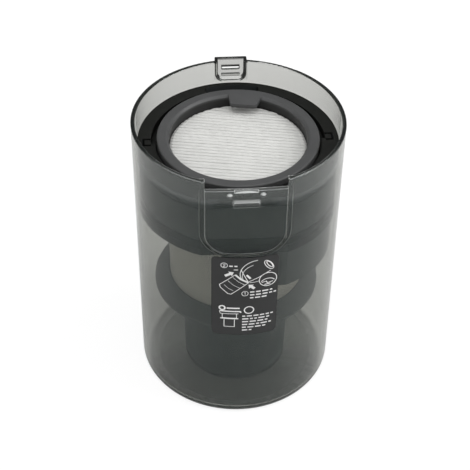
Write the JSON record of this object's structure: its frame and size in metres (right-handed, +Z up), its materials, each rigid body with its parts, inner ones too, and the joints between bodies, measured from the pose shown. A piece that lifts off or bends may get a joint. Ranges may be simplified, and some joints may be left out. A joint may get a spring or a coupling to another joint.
{
  "type": "vacuum dust cup with cyclone filter",
  "caption": "Round smoke-clear vacuum dust cup with a lift-out cyclone separator, screen and pleated disc filter in a pull-out frame.",
  "frame": {"origin": "on the cup's axis, in the plane of its foot ring", "axes": "+Z up along the cup's axis to the open mouth, -Y to the latch recess at the front, +X to the right"},
  "size_m": [0.104, 0.1063, 0.156],
  "materials": {
    "clear_smoke": "clear smoke-tinted moulding",
    "label_print": "printed film",
    "rubber": "soft matte",
    "dark_plastic": "satin moulding",
    "drum_plastic": "satin moulding",
    "screen_steel": "fine perforated sheet",
    "black_plastic": "fine matte moulding",
    "screw_steel": "zinc plated",
    "frame_plastic": "satin moulding",
    "media_paper": "pleated filter paper"
  },
  "bodies": {
    "cup": {"dust_cup": "clear_smoke", "cup_label": "label_print"},
    "cyclone": {"tube_seal": "rubber", "dust_tube": "dark_plastic", "skirt": "dark_plastic", "screen": "screen_steel", "screen_cage": "dark_plastic", "drum": "drum_plastic", "drum_seal": "rubber", "cone_cluster": "dark_plastic", "outlet_plate": "dark_plastic", "outlet_gasket": "rubber", "plate_screw_1": "screw_steel", "plate_screw_2": "screw_steel", "plate_screw_3": "screw_steel", "top_ring": "black_plastic"},
    "filter": {"filter_frame": "frame_plastic", "filter_media": "media_paper", "filter_gasket": "rubber"}
  },
  "joints": [
    {"name": "cyclone_lift", "type": "slide", "parent": "cup", "child": "cyclone", "axis": [0, 0, 1], "range_m": [0, 0.165]},
    {"name": "filter_lift", "type": "slide", "parent": "cyclone", "child": "filter", "axis": [0, 0, 1], "range_m": [0, 0.05]}
  ]
}
